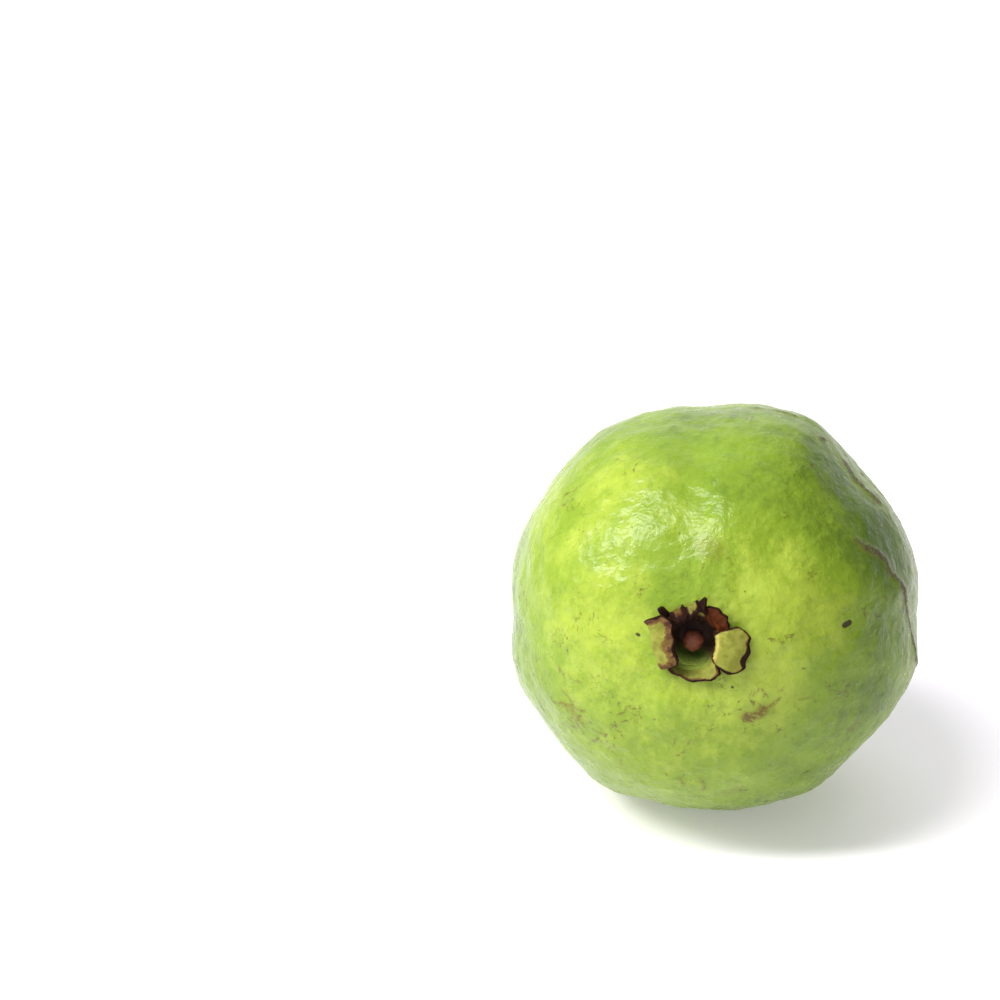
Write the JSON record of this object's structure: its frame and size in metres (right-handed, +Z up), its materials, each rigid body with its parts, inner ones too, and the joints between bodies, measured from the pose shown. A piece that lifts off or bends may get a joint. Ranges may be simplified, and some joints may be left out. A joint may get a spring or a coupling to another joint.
{
  "type": "guava",
  "caption": "Whole green guava lying on its side, with soft irregular shoulders, a dried sepal crown round the cup at its blossom end and a short stalk stub behind.",
  "frame": {"origin": "centre of the small flat spot that the fruit rests on, straight below the fruit's middle", "axes": "+Z up from the resting surface; the calyx end faces -Y, tilted up 13.5 degrees; the stalk end faces +Y"},
  "size_m": [0.0799, 0.0858, 0.0796],
  "materials": {
    "skin": "satin waxy fruit skin, yellow-green",
    "dried_sepal": "matt dried calyx, yellow-green faces and dark brown edges",
    "dried_style": "matt reddish brown",
    "stalk_wood": "matt grey-brown bark with a paler broken end"
  },
  "bodies": {
    "root": {"fruit": "skin", "calyx": "dried_sepal", "style_base": "dried_style", "stalk_stub": "stalk_wood"}
  },
  "joints": []
}
